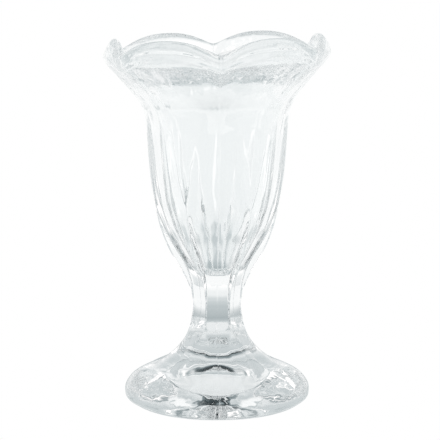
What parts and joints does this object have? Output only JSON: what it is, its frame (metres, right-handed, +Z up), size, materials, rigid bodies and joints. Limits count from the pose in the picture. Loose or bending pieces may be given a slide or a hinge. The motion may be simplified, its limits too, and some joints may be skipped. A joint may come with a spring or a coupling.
{
  "type": "parfait glass",
  "caption": "Footed dessert glass in clear pressed glass: a tall fluted bowl with a petalled, flared rim, a short six-sided stem and a round lobed foot.",
  "frame": {"origin": "centre of the ring that the foot rests on", "axes": "+Z up along the axis of the glass; -Y towards a notch between two petals, which is the front; +X to the right"},
  "size_m": [0.095, 0.0972, 0.1561],
  "materials": {
    "clear_glass": "clear pressed glass, fire-polished, with soft waviness"
  },
  "bodies": {
    "root": {"bowl": "clear_glass", "stem": "clear_glass", "foot": "clear_glass"}
  },
  "joints": []
}
